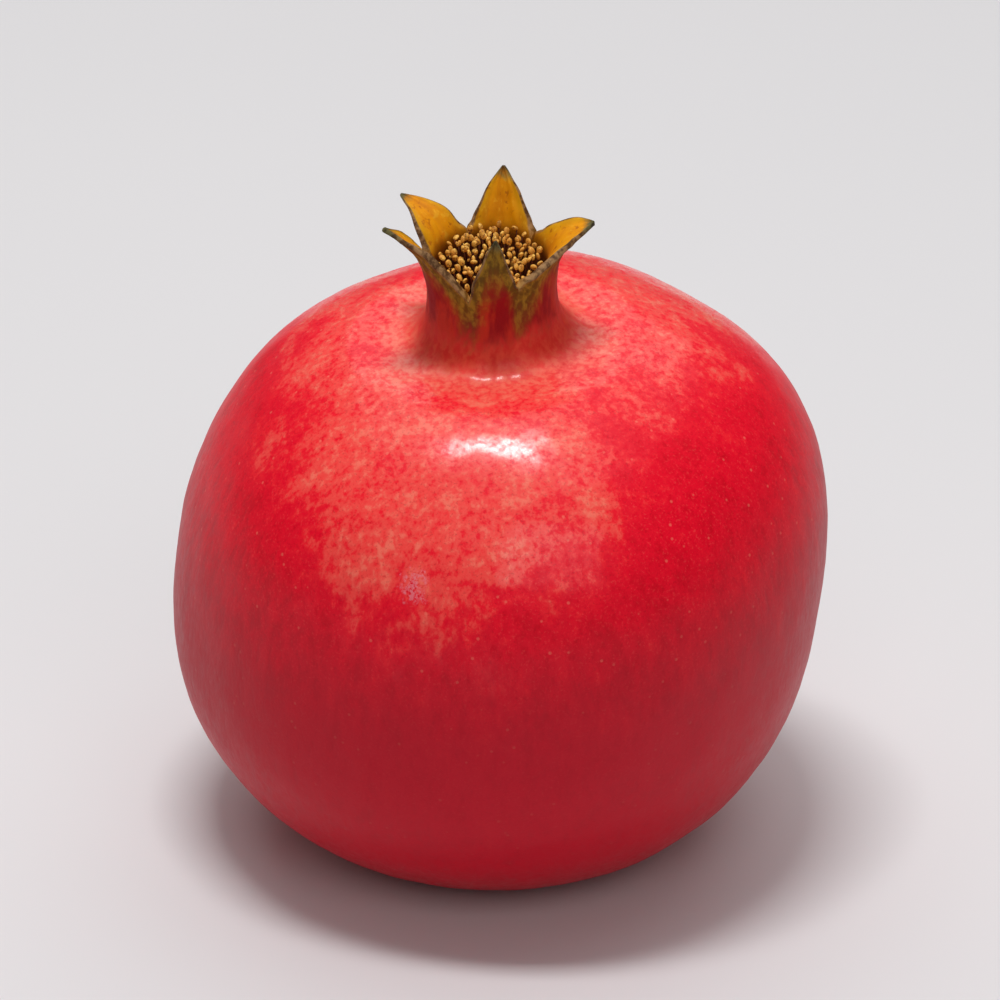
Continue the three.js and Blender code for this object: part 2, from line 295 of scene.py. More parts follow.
def evenly(points, spacing):  # the same line with points an even distance apart
    steps = np.linalg.norm(np.diff(points, axis=0), axis=1)
    along = np.concatenate([[0], np.cumsum(steps)])
    wanted = np.linspace(0, along[-1], max(2, round(along[-1] / spacing)))
    return np.stack([np.interp(wanted, along, points[:, i]) for i in range(2)], 1)


def skinRings():  # the outline, with closer rings on the neck
    line = outline()
    line = line[np.concatenate([[True], np.linalg.norm(np.diff(line, axis=0), axis=1) > 1e-7])]
    onTop = line[:, 1] > fruit["equator"]
    neckStart = np.argmax(onTop & (line[:, 0] < fruit["neckFoot"] / 2 + fruit["neckMargin"]))
    skin = evenly(line[:neckStart + 1], fruit["skinSpacing"])
    neck = evenly(line[neckStart:], fruit["neckSpacing"])
    return np.concatenate([skin, neck[1:]])


def sepalSpans():
    total = sum(s["share"] for s in sepalSizes)
    start, spans = firstCleft, []
    for s in sepalSizes:
        span = 360 * s["share"] / total
        spans.append((start, span))
        start += span
    return spans


def swollen(r, z, angle):
    level = np.clip((z - fruit["equator"]) / fruit["shoulder"], -1, 1)
    fade = smooth(r, fruit["dimpleDiameter"] / 2, radius * 0.8)
    grown = r.copy()
    for around, at, rise, centre in swellings:
        near = np.exp(-(((level - centre) / fruit["swellReach"]) ** 2))
        grown += rise * mm * near * fade * np.cos(around * (angle - math.radians(at)))
    return grown


def cleftShift(angle):  # how far the rim rises at each angle because of uneven clefts
    shift = np.zeros_like(angle)
    for (start, span), rise in zip(sepalSpans(), cleftRise):
        away = (angle - math.radians(start) + math.pi) % (2 * math.pi) - math.pi
        shift += rise * np.exp(-((away / fruit["cleftReach"]) ** 2))
    return shift


relief = {
    "dents": 0.30 * mm,  # broad uneven hollows of the rind
    "dentSize": 21 * mm,
    "ripple": 0.075 * mm,  # smaller unevenness
    "rippleSize": 5.5 * mm,
    "pebble": 0.016 * mm,
    "pebbleSize": 2.1 * mm,
    "neckFolds": 0.10 * mm,  # creases that run out from the foot of the neck
    "foldCount": 17,
    "foldsFromAxis": 14 * mm,
    "foldsReach": 4.2 * mm,
    "flutes": 0.32 * mm,  # grooves that run down the neck from the clefts
    "fluteWidth": 0.16,  # radians
    "ridges": 0.8,  # swellings between the grooves, as a share of their depth
    "ridgeWidth": 0.30,  # of a sepal's span
    "seed": 4,
}


def reliefOf(points, r, z, angle):  # how far the rind stands out at each point
    onBody = smooth(r, 0.4 * mm, 12 * mm)
    low = noiseAt(points, 1 / relief["dentSize"], relief["seed"], 2) * relief["dents"] * onBody
    fine = noiseAt(points, 1 / relief["rippleSize"], relief["seed"] + 1, 2) * relief["ripple"] * onBody
    fine += noiseAt(points, 1 / relief["pebbleSize"], relief["seed"] + 2, 1) * relief["pebble"] * onBody
    overNeck = (z > top - 6 * mm) & (r < 30 * mm)
    nearFoot = np.exp(-(((r - relief["foldsFromAxis"]) / relief["foldsReach"]) ** 2)) * overNeck
    uneven = 0.55 + 0.45 * np.sin(angle * 3 + 1.1)
    wander = 0.5 * np.sin(angle * 5 + 0.4) + 0.35 * np.sin(angle * 2 + r / (3 * mm))
    folds = np.cos(relief["foldCount"] * angle + wander * 3) * relief["neckFolds"] * nearFoot * uneven
    up = smooth(z, top + 1.5 * mm, rim)
    flutes = np.zeros_like(angle)
    for start, span in sepalSpans():
        away = (angle - math.radians(start) + math.pi) % (2 * math.pi) - math.pi
        flutes -= np.exp(-((away / relief["fluteWidth"]) ** 2)) * relief["flutes"]
        middle = (angle - math.radians(start + span / 2) + math.pi) % (2 * math.pi) - math.pi
        wide = relief["ridgeWidth"] * math.radians(span)
        flutes += np.exp(-((middle / wide) ** 2)) * relief["flutes"] * relief["ridges"]
    return low + fine + folds + flutes * up


blade = {
    "baseTilt": 8,
    "belly": 0.45,  # how much a sepal swells between its foot and its tip
    "cleft": 0.13,  # how far the clefts cut into its foot
    "flattening": 0.75,
    "bluntness": 0.988,
    "tipWall": 0.55 * mm,
    "lip": 0.27,  # bulge of the margin, as a share of the wall
    "ribs": 0.08 * mm,
    "keel": 0.34 * mm,  # ridge up the middle of the outer face
    "wave": 0.05,  # of its width
    "crumple": 0.16 * mm,
    "crumpleSize": 3.2 * mm,
    "curl": 7,  # degrees that the very tip turns out further
}


def bladePoints(sepal, start, span, across, along, depth):
    # the spine is an arc that leans out; the blade is bent round it and its margin is rounded
    base = math.radians(blade["baseTilt"])
    change = math.radians(sepal["tilt"]) - base
    turn = max(abs(change), math.radians(1)) * (1 if change >= 0 else -1)
    tilt = base + turn * along
    length = sepal["length"]
    out = mouth + length * (math.cos(base) - np.cos(tilt)) / turn
    up = rim + length * (np.sin(tilt) - math.sin(base)) / turn
    halfWidth = mouth * math.radians(span / 2) * (1 - along) * (1 + blade["belly"] * along)
    halfWidth = halfWidth * (1 - blade["cleft"] * smooth(along, 0, 0.14))
    wavy = 1 + blade["wave"] * np.sin(along * 9 + start) * smooth(along, 0.05, 0.3)
    curve = (1 - along * blade["flattening"]) / mouth
    bend = across * halfWidth * wavy * curve
    thick = fruit["wall"] + (blade["tipWall"] - fruit["wall"]) * smooth(along, 0, 0.85)
    edge = np.abs(across) ** 5 * np.minimum(1, along * 6)
    wall = thick + (sepal["edge"] * (1 - 0.5 * along) - thick) * edge
    lip = np.sign(across) * (np.abs(across) > 0.999) * wall * blade["lip"] * np.sin(math.pi * depth)
    lip = lip * np.minimum(1, along * 7)
    side = np.sin(bend) / curve - wall * depth * np.sin(bend) + lip * np.cos(bend)
    side = side + sepal["sway"] * along ** 1.6
    inward = (1 - np.cos(bend)) / curve + wall * depth * np.cos(bend)
    ribs = np.cos(across * math.pi * 4.5 + start) * blade["ribs"]
    keel = np.exp(-(across / 0.3) ** 2) * blade["keel"]
    inward = inward + (ribs - keel) * smooth(along, 0.02, 0.25) * (1 - along * 0.7)
    middle = math.radians(start + span / 2)
    outward = np.array([math.cos(middle), math.sin(middle), 0])
    around = np.array([-math.sin(middle), math.cos(middle), 0])
    flat = (out - inward * np.cos(tilt))[:, None] * outward + side[:, None] * around
    flat[:, 2] = up + inward * np.sin(tilt)
    tip = smooth(along, 0.72, 1.0)[:, None]
    shift = noiseAt(flat, 1 / blade["crumpleSize"], start, 2) * smooth(along, 0.1, 0.6)
    shift = shift * (1 + 1.3 * np.abs(across) ** 3) * blade["crumple"]
    curl = length * 0.10 * math.radians(blade["curl"]) * tip
    return flat + outward * (shift[:, None] + curl)


rind = {
    "tongues": [(-99, 0.16), (62, 0.15), (-46, -0.05)],  # where the pale top, partly painted reflection, reaches down, and how far
    "scuffs": [  # degrees round the fruit, level and size
        (-107, 0.786, 2.7 * mm),
        (24, 0.60, 3.2 * mm),
        (152, 0.45, 2.4 * mm),
    ],
    "scuffReach": 0.88,  # the fruit's radius at the pale patches, as a share of its largest
    "fleck": 1.1 * mm,
    "streak": 2.6 * mm,
    "cloud": 8.5 * mm,
    "blotch": 22 * mm,
    "porePitch": 2.9 * mm,
    "speck": 0.42 * mm,
    "grain": 0.16 * mm,
}


def facing(cosine, sine, degrees):  # 1 straight ahead in a direction round the fruit, less beside it
    return cosine * math.cos(math.radians(degrees)) + sine * math.sin(math.radians(degrees))


def rindNoises(s):  # the skin's map keeps the grain running from end to end on the sides
    skinMap, place = s.attribute("skinMap"), s.places()
    return {
        "flecks": s.grain(s.stretched(skinMap, (1, 1, 0.55)), 1 / rind["fleck"], 3, 0.6, 0.15),
        "streaks": s.grain(s.stretched(skinMap, (1, 1, 0.35)), 1 / rind["streak"], 3, 0.55, 0.2),
        "clouds": s.grain(skinMap, 1 / rind["cloud"], 2, 0.5, 0.3),
        "blotches": s.grain(skinMap, 1 / rind["blotch"], 3, 0.55, 0.4),
        "specks": s.grain(place, 1 / rind["speck"], 2, 0.6),
        "pores": s.cells(place, 1 / rind["porePitch"]),
    }


def paleTopAndPaintedReflection(s, noises, height, cosine, sine):  # 1 on the pale top of the fruit: partly its own salmon mottling, partly a painted reflection of the overhead lights
    level = height + (noises["blotches"] - 0.5) * 0.22
    for at, reach in rind["tongues"]:
        level = level + s.step(facing(cosine, sine, at), 0.60, 0.98) * reach
    return s.step(level + (noises["clouds"] - 0.5) * 0.16, 0.79, 0.99)


def skinColour(s, noises, upper):  # crimson, mottled with salmon; paler on top, partly as painted reflection
    flecks, streaks, clouds, specks = [noises[n] for n in ("flecks", "streaks", "clouds", "specks")]
    # painted reflection: the pale top lifts the salmon over the rind's own mottling
    pale = upper * 0.46 + (flecks - 0.5) * (upper * 0.3 + 0.70) + (streaks - 0.5) * 0.5 + 0.17
    pale = pale + (noises["blotches"] - 0.5) * 0.3 + (clouds - 0.5) * (upper * 0.35 + 0.35)
    base = s.mix(s.step(pale, -0.08, 0.24), colour(218, 0, 30), colour(240, 1, 38))
    base = s.mix(s.step(pale, 0.24, 0.48), base, colour(249, 24, 42))
    base = s.mix(s.step(pale, 0.42, 0.64), base, colour(254, 72, 66))
    base = s.mix(s.step(pale, 0.64, 0.90) * 0.8, base, colour(255, 122, 100))
    base = s.mix(s.step(specks, 0.56, 0.70) * 0.22, base, colour(255, 96, 88))
    base = s.mix(s.step(specks, 0.44, 0.30) * 0.30, base, colour(176, 0, 20))
    return s.mix(s.step(noises["pores"], 0.12, 0.05) * 0.30, base, colour(252, 150, 124))


def palePatchColour(s, noises, base, height, cosine, sine):  # small dull greyish pink patches
    for at, rise, size in rind["scuffs"]:
        above = height * top - rise * top
        beside = (1 - facing(cosine, sine, at)) * (2 * (rind["scuffReach"] * radius) ** 2)
        squared = beside + above * above + (noises["flecks"] - 0.5) * (4 * size ** 2)
        onPatch = s.step(squared, size ** 2, 0) * s.step(noises["specks"], 0.36, 0.60)
        base = s.mix(onPatch * 0.42, base, colour(236, 170, 182))
    return base


def lowShadeAndRussetColour(s, noises, base, height):  # darker red low down as painted shade, and brownish russet round the stem
    flecks, streaks = noises["flecks"], noises["streaks"]
    # painted shade: the lower body turns darker red towards the stem end
    base = s.mix(s.step(height + (streaks - 0.5) * 0.2, 0.84, 0.48) * 0.72, base, colour(180, 0, 32))
    run = s.parts(s.attribute("skinMap"))[2] + (flecks - 0.5) * (6 * mm) + (streaks - 0.5) * (5 * mm)
    russet = s.mix(s.step(flecks, 0.4, 0.6), colour(150, 84, 40), colour(206, 146, 84))
    return s.mix(s.step(run, 9.5 * mm, 4.5 * mm) * 0.85, base, russet)


def neckColour(s, noises, base, along, across):  # pinkish, orange and dark red, then olive sepals; the dark red is partly painted shade
    flecks, streaks = noises["flecks"], noises["streaks"]
    wander = along + (streaks - 0.5) * 0.5 + (flecks - 0.5) * 0.4 + (noises["clouds"] - 0.5) * 0.5
    pinkish = s.mix(s.step(flecks, 0.34, 0.68), colour(243, 84, 70), colour(247, 122, 96))
    orange = s.mix(s.step(flecks, 0.34, 0.68), colour(222, 42, 34), colour(234, 72, 50))
    base = s.mix(s.step(wander, -0.95, -0.45) * 0.65, base, pinkish)
    base = s.mix(s.step(wander, -0.35, 0.05) * 0.9, base, orange)
    # the dark red band under the rim is partly the neck's own colour, partly painted shade
    neckRedAndShade = s.mix(s.step(streaks, 0.40, 0.62), colour(154, 8, 16), colour(200, 44, 24))
    base = s.mix(s.step(wander, 0.06, 0.50), base, neckRedAndShade)
    nearEdge = s.step(across * across, 0.05, 0.85)
    olive = s.mix(s.step(flecks, 0.40, 0.65), colour(106, 72, 8), colour(158, 118, 30))
    greening = s.step(wander + nearEdge * 0.75 + (streaks - 0.5) * 0.7, 0.70, 1.60)
    return s.mix(greening, base, olive)


def innerColour(s, noises, along, across):  # golden inside the sepals, redder and darker down in the cup
    flecks, streaks = noises["flecks"], noises["streaks"]
    gold = s.mix(s.step(streaks, 0.35, 0.70), colour(232, 152, 0), colour(214, 128, 2))
    gold = s.mix(s.step(across * across, 0.2, 0.9) * 0.5, gold, colour(196, 156, 10))
    gold = s.mix(s.step(flecks, 0.56, 0.70) * 0.6, gold, colour(240, 178, 40))
    gold = s.mix(s.step(flecks, 0.42, 0.32) * 0.6, gold, colour(160, 78, 6))
    cupTone = s.mix(s.step(along, 0.2, 1.0), colour(66, 26, 12), colour(150, 76, 14))
    return s.mix(s.step(along, 0.85, 1.25), cupTone, gold)


def driedColour(s, noises, base, along, across):  # the margins and tips of the sepals
    flecks = noises["flecks"]
    dry = s.mix(s.step(flecks, 0.38, 0.62), colour(86, 56, 30), colour(162, 122, 80))
    tipTone = s.mix(s.step(flecks, 0.4, 0.6), colour(62, 56, 36), colour(104, 96, 58))
    base = s.mix(s.step(across * across, 0.84, 0.97) * s.step(along, 0.9, 1.15), base, dry)
    return s.mix(s.step(along + (flecks - 0.5) * 0.3, 1.76, 1.97), base, tipTone)


def rindShader():
    s = Shader("pomegranateRind")
    noises = rindNoises(s)
    flecks, specks = noises["flecks"], noises["specks"]
    along, across, inside = s.parts(s.attribute("crownMap"))  # along is 1 at the rim, 2 at a sepal's tip
    height, cosine, sine = s.parts(s.attribute("heightMap"))  # height is 1 at the top of the shoulder
    upper = paleTopAndPaintedReflection(s, noises, height, cosine, sine)
    outer = skinColour(s, noises, upper)
    outer = palePatchColour(s, noises, outer, height, cosine, sine)
    outer = lowShadeAndRussetColour(s, noises, outer, height)
    outer = neckColour(s, noises, outer, along, across)
    base = s.mix(inside, outer, innerColour(s, noises, along, across))
    skin = noises["streaks"] * 0.5 + flecks * 0.6 + specks * 0.18
    skin = skin + s.step(noises["pores"], 0.0, 0.3) * 0.25
    waxed = s.step(along, 0.1, -0.7) * (upper * 0.62 + 0.06)
    s.set({
        "Base Color": driedColour(s, noises, base, along, across),
        "Roughness": 0.44 + (flecks - 0.5) * 0.3 + s.step(along, 0.2, 1.0) * 0.2,
        "Coat Weight": waxed * (s.step(flecks, 0.34, 0.58) * 0.8 + 0.3),
        "Coat Roughness": 0.16,
        "Specular IOR Level": 0.17,
        "Normal": s.bump(skin, rind["grain"], 0.55),
    })
    return s.material


class Skin:  # the fruit's points row by row with the maps that its shader reads, and its faces
    def __init__(self, rimRun):
        self.rimRun = rimRun  # length of the outline from the stem end to the rim
        self.points, self.faces = np.zeros((0, 3)), []
        self.maps = {"skinMap": [], "crownMap": [], "heightMap": []}

    def add(self, points, angle, along, across, inside, plain=None, run=None):
        plain = points if plain is None else plain  # where the points are before dents and folds
        run = self.rimRun - rim + plain[:, 2] if run is None else run
        columns = {
            "skinMap": (plain[:, 0], plain[:, 1], run),
            "crownMap": (along, np.abs(across), inside),
            "heightMap": (plain[:, 2] / top, np.cos(angle), np.sin(angle)),
        }
        for name, values in columns.items():
            self.maps[name].append(np.stack([np.broadcast_to(v, len(points)) for v in values], 1))
        first = len(self.points)
        self.points = np.concatenate([self.points, points])
        return np.arange(first, len(self.points))

    def close(self, row, point):  # a fan from a ring to one point
        self.faces += [[a, b, point] for a, b in zip(row, np.roll(row, -1))]


def addBody(skin, rings, run, angles, fromMiddle):
    count = len(angles)
    r, z = np.repeat(rings[:, 0], count), np.repeat(rings[:, 1], count)
    angle = np.tile(angles, len(rings))
    grown = swollen(r, z, angle)
    plain = np.stack([grown * np.cos(angle), grown * np.sin(angle), z], 1)
    tangent = np.gradient(rings, axis=0)
    tangent = tangent / np.linalg.norm(tangent, axis=1)[:, None]
    outR, outZ = np.repeat(tangent[:, 1], count), np.repeat(-tangent[:, 0], count)
    outward = np.stack([outR * np.cos(angle), outR * np.sin(angle), outZ], 1)
    points = plain + outward * reliefOf(plain, grown, z, angle)[:, None]
    points[:, 2] += cleftShift(angle) * smooth(z, top + 3 * mm, rim)
    along = np.maximum(-3, 1 - (skin.rimRun - np.repeat(run, count)) / fruit["neckRun"])
    across = np.tile(fromMiddle, len(rings))
    rows = skin.add(points, angle, along, across, 0, plain, np.repeat(run, count)).reshape(-1, count)
    for lower, upper in zip(rows, rows[1:]):
        skin.faces += closedBand(lower, upper)
    pole = skin.add(np.array([[0, 0, underside(0.0)]]), 0, -2, 0, 0)[0]
    skin.close(rows[0][::-1], pole)
    return rows[-1]


def addCup(skin, angles, fromMiddle):  # from the rim down to the floor under the stamens
    rows = []
    for i in range(fruit["cupRows"]):
        r = np.full(len(angles), cup * math.cos(i / fruit["cupRows"] * math.pi / 2) ** 0.8)
        ring = np.stack([r * np.cos(angles), r * np.sin(angles), cupFloor(r)], 1)
        if i:
            ring[:, 2] += 0.25 * mm * noiseAt(ring, 1 / (2 * mm), 9, 2)
        depth = (rim - ring[:, 2]) / fruit["cupDepth"]
        ring[:, 2] += cleftShift(angles) * smooth(ring[:, 2], rim - 5 * mm, rim)
        rows.append(skin.add(ring, angles, 1 - depth, fromMiddle, 1))
    for lower, upper in zip(rows, rows[1:]):
        skin.faces += closedBand(lower, upper)
    floor = skin.add(np.array([[0, 0, cupFloor(0.0)]]), 0, 0, 0, 1)[0]
    skin.close(rows[-1], floor)
    return rows[0]


def addSepal(skin, k, outerRow, innerRow, clefts, angles):
    start, span = sepalSpans()[k]
    columns, lips = fruit["columnsPerSepal"], fruit["lipRows"]
    lipShare = np.arange(1, lips + 1) / (lips + 1)
    stretch = np.arange(k * columns, (k + 1) * columns + 1) % len(angles)
    before, after = clefts[k], clefts[(k + 1) % len(clefts)]
    loop = np.concatenate([outerRow[stretch], after, innerRow[stretch][::-1], before[::-1]])
    side = np.linspace(-1, 1, columns + 1)
    across = np.concatenate([side, np.ones(lips), side[::-1], -np.ones(lips)])
    depth = np.concatenate([0 * side, lipShare, 0 * side + 1, lipShare[::-1]])  # 0 outside, 1 inside
    angle = np.radians(start + span * (across + 1) / 2)
    onRim = skin.points[outerRow[stretch]]
    around = angles[stretch]
    plainRim = np.stack([mouth * np.cos(around), mouth * np.sin(around), 0 * side + rim], 1)
    for j in range(1, fruit["bladeRows"] + 1):
        share = blade["bluntness"] * (j / fruit["bladeRows"]) ** 0.9
        ring = bladePoints(sepalSizes[k], start, span, across, np.full(len(across), share), depth)
        settle = 1 - smooth(share, 0, 0.20)  # the relief of the tube fades out up the blade
        ring[:columns + 1] += (onRim - plainRim) * settle
        ring[columns + 1:, 2] += cleftShift(angle[columns + 1:]) * settle
        made = skin.add(ring, angle, 1 + share, across, depth)
        skin.faces += closedBand(loop, made)
        loop = made
    tip = skin.add(skin.points[loop].mean(0)[None], angle[:1], 2, 0, 0.5)[0]
    skin.close(loop, tip)


def buildFruit(material):
    rings = skinRings()
    run = np.concatenate([[0], np.cumsum(np.linalg.norm(np.diff(rings, axis=0), axis=1))])
    columns, lips = fruit["columnsPerSepal"], fruit["lipRows"]
    angles = np.concatenate([
        np.radians(start + span * np.arange(columns) / columns) for start, span in sepalSpans()])
    fromMiddle = np.abs(2 * (np.arange(len(angles)) % columns) / columns - 1)  # 1 at the clefts
    skin = Skin(run[-1])
    outerRow = addBody(skin, rings, run, angles, fromMiddle)
    innerRow = addCup(skin, angles, fromMiddle)
    # each cleft has a short row of points over the rim, which the two sepals beside it share
    lipShare = np.arange(1, lips + 1) / (lips + 1)
    clefts = []
    for column in range(0, len(angles), columns):
        outer, inner = skin.points[outerRow[column]], skin.points[innerRow[column]]
        between = outer + (inner - outer) * lipShare[:, None]
        clefts.append(skin.add(between, angles[column], 1, 1, lipShare))
    for k in range(len(sepalSizes)):
        addSepal(skin, k, outerRow, innerRow, clefts, angles)
    turned = skin.points @ np.array(toRow.to_3x3()).T + np.array(toRow.translation)
    z, soft = turned[:, 2], fruit["floorSoftness"]
    turned[:, 2] = (z + np.sqrt(z ** 2 + soft ** 2)) / 2  # flattened where it stands
    attributes = {name: np.concatenate(values) for name, values in skin.maps.items()}
    piece = addMesh("pomegranate", turned, skin.faces, material, attributes)
    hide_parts("fruit")
    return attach(piece, "root")


pomegranate = buildFruit(rindShader())
print("fruit:", len(pomegranate.data.polygons), "faces")


stamen = {
    "anther": 1.22 * mm,  # length, width and thickness of the pollen sacs
    "antherWide": 1.00 * mm,
    "antherThick": 0.80 * mm,
    "filament": 0.30 * mm,
    "filamentSteps": 9,
    "filamentSides": 7,
    "wiggle": 0.16 * mm,
    "groove": 0.24,
    "sides": 14,
    "rings": 9,
    "fillers": 150,  # the other ones of the bunch, between the long ones
    "fillerSpread": 8.2 * mm,
    "fillerFoot": 0.72,
    "fillerDrop": 0.9 * mm,
    "backRise": 0.9 * mm,  # the bunch stands higher at the back of the crown
    "spacing": 0.72 * mm,
    "scatter": 0.15 * mm,
    "seed": 11,
}


def crossFrame(direction, turned):  # two directions square to a direction, turned round it
    helper = Vector((1, 0, 0)) if abs(direction.x) < 0.8 else Vector((0, 1, 0))
    first = direction.cross(helper).normalized()
    first.rotate(Matrix.Rotation(turned, 3, direction))
    return first, direction.cross(first)


def rodPoints(path, radii, sides):  # rings round a line of points
    points = []
    for i, centre in enumerate(path):
        ahead = path[min(i + 1, len(path) - 1)] - path[max(i - 1, 0)]
        first, second = crossFrame(ahead.normalized(), 0)
        for j in range(sides):
            turn = 2 * math.pi * j / sides
            points.append(centre + (first * math.cos(turn) + second * math.sin(turn)) * radii[i])
    return points, tubeFaces(sides, len(path))


def antherPoints(centre, direction, size, turned):  # two swollen sacs side by side with a groove between
    sides, rings = stamen["sides"], stamen["rings"]
    first, second = crossFrame(direction, turned)
    points = []
    for i in range(1, rings):
        polar = math.pi * i / rings
        swell = math.sin(polar) ** 0.8
        for j in range(sides):
            turn = 2 * math.pi * j / sides
            sac = swell * (1 - stamen["groove"] * (1 + math.cos(2 * turn + math.pi)) * 0.5)
            across = first * math.cos(turn) * sac * stamen["antherWide"] / 2
            thick = second * math.sin(turn) * sac * stamen["antherThick"] / 2
            lengthwise = direction * math.cos(polar) * stamen["anther"] / 2
            points.append(centre + (across + thick - lengthwise) * size)
    return points, tubeFaces(sides, rings - 1)


def stamenMesh(foot, head, rng, size=1.0):
    lean = Vector(rng.normal(0, 0.42, 3))
    direction = ((head - foot).normalized() + lean).normalized()
    centre = head - (head - foot).normalized() * stamen["anther"] * 0.42
    joint = centre - direction * stamen["anther"] * 0.40 * size
    steps, sides = stamen["filamentSteps"], stamen["filamentSides"]
    aside = crossFrame((joint - foot).normalized(), rng.uniform(0, 6.28))[0]
    path = []
    for i in range(steps + 1):
        share = i / steps
        bow = math.sin(share * math.pi) * stamen["wiggle"] * (1 + 0.6 * math.sin(share * 7))
        path.append(foot.lerp(joint, share) + aside * bow)
    radii = [stamen["filament"] / 2 * (1.25 - 0.45 * i / steps) for i in range(steps + 1)]
    points, faces = rodPoints(path, radii, sides)
    sacPoints, sacFaces = antherPoints(centre, direction, size, rng.uniform(0, 3.14))
    along = [[i / steps * 0.6, 0, 0] for i in range(steps + 1) for _ in range(sides)]
    along += [[1, 0, 0]] * len(sacPoints)
    faces += [[n + len(points) for n in face] for face in sacFaces]
    return points + sacPoints, faces, along


def stamenShader():
    s = Shader("driedStamen")
    place = s.places()
    onAnther = s.step(s.parts(s.attribute("stamenMap"))[0], 0.62, 0.9)
    tone = s.cells(place, 700, "Color")
    crust = s.grain(place, 2600, 3, 0.6)
    each = s.parts(tone)[0]
    gold = s.mix(each, colour(248, 196, 92), colour(214, 144, 46))
    gold = s.mix(s.step(crust, 0.50, 0.34), gold, colour(140, 86, 24))
    thread = s.mix(each, colour(128, 62, 26), colour(84, 36, 18))
    s.set({
        "Base Color": s.mix(onAnther, thread, gold),
        "Roughness": 0.62 + (crust - 0.5) * 0.3,
        "Specular IOR Level": 0.45,
        "Normal": s.bump(crust, 0.08 * mm, 0.6),
    })
    return s.material


def nodeEnds(node):  # the lowest and highest spot of a slim CAD node along the fruit's axis
    found = spots(node)
    rise = found @ np.array(axis)
    foot = found[rise < rise.min() + 0.12 * mm].mean(0)
    head = found[rise > rise.max() - 0.12 * mm].mean(0)
    return Vector(foot), Vector(head)


def buildStamens(material):
    rng = np.random.default_rng(stamen["seed"])
    nodes = sorted(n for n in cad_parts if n.startswith("stamen_"))
    ends = [nodeEnds(node) for node in nodes]
    for node, (foot, head) in zip(nodes, ends):
        points, faces, along = stamenMesh(foot, head, rng, rng.uniform(0.92, 1.15))
        name = "dried" + node.title().replace("_", "")
        piece = addMesh(name, points, faces, material, {"stamenMap": along})
        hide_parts(node)
        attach(piece, "root")
    # the fillers keep to the same domed top, spread like seeds on a sunflower
    toFruit = toRow.inverted()
    heads = np.array([toFruit @ head for foot, head in ends])
    allPoints, allFaces, allAlong = [], [], []
    for i in range(stamen["fillers"]):
        away = stamen["fillerSpread"] * math.sqrt((i + 0.5) / stamen["fillers"])
        turn = i * math.pi * (3 - math.sqrt(5)) + 0.8
        x = away * math.cos(turn) + rng.normal(0, stamen["scatter"])
        y = away * math.sin(turn) + rng.normal(0, stamen["scatter"])
        distance = np.hypot(heads[:, 0] - x, heads[:, 1] - y)
        near = np.argsort(distance)[:3]
        height = heads[near, 2].mean() - stamen["fillerDrop"] * rng.uniform(-0.2, 1.0)
        height += stamen["backRise"] * max(0, y / stamen["fillerSpread"])
        if distance[near[0]] < stamen["spacing"]:
            height -= stamen["anther"]
        foot = Vector((x, y, 0)) * stamen["fillerFoot"]
        foot.z = cupFloor(np.array(away * stamen["fillerFoot"])) - 0.2 * mm
        head = Vector((x, y, height))
        points, faces, along = stamenMesh(toRow @ foot, toRow @ head, rng, rng.uniform(0.8, 1.0))
        allFaces += [[n + len(allPoints) for n in face] for face in faces]
        allPoints += points
        allAlong += along
    piece = addMesh("otherStamens", allPoints, allFaces, material, {"stamenMap": allAlong})
    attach(piece, "root")


buildStamens(stamenShader())
print("stamens:", len(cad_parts) - 3, "and", stamen["fillers"], "between them")


style = {"stalk": 0.62 * mm, "stigma": 1.5 * mm, "wiggle": 0.18 * mm, "steps": 26, "sides": 14}


def styleShader():
    s = Shader("witheredStyle")
    place = s.places()
    crust = s.grain(place, 1500, 4, 0.6)
    s.set({
        "Base Color": s.mix(s.step(crust, 0.35, 0.65), colour(74, 44, 20), colour(128, 88, 44)),
        "Roughness": 0.7 + (crust - 0.5) * 0.3,
        "Normal": s.bump(crust, 0.1 * mm, 0.7),
    })
    return s.material


def buildStyle(material):
    foot, head = nodeEnds("style")
    aside = crossFrame(axis, 0.6)[0]
    path, radii = [], []
    for share in np.linspace(0, 1, style["steps"]):
        bow = math.sin(share * math.pi) * style["wiggle"] * math.sin(share * 9)
        path.append(foot.lerp(head, share) + aside * bow)
        knob = smooth(share, 0.78, 0.9) * (1 - 0.55 * smooth(share, 0.93, 1.0))
        radii.append(style["stalk"] / 2 + (style["stigma"] - style["stalk"]) / 2 * float(knob))
    points, faces = rodPoints(path, radii, style["sides"])
    piece = addMesh("witheredStyle", points, faces, material)
    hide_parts("style")
    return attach(piece, "root")


buildStyle(styleShader())


stem = {"sides": 40, "rows": 26, "faceRings": 9}


def stemShader():
    s = Shader("cutStem")
    place = s.places()
    face = s.parts(s.attribute("stemMap"))
    fibre = s.grain(s.stretched(place, (1, 1, 0.2)), 1800, 3, 0.6)
    speck = s.grain(place, 900, 3, 0.6)
    rings = s.node("ShaderNodeMath", {"operation": "SINE"}, {0: face[1] * 34 + speck * 5})
    bark = s.mix(s.step(fibre, 0.35, 0.65), colour(96, 72, 48), colour(150, 120, 84))
    cut = s.mix(s.step(rings, -0.6, 0.8) * 0.5, colour(196, 168, 118), colour(150, 116, 72))
    s.set({
        "Base Color": s.mix(face[0], bark, cut),
        "Roughness": 0.72 + (speck - 0.5) * 0.3,
        "Normal": s.bump(fibre, 0.12 * mm, 0.8),
    })
    return s.material


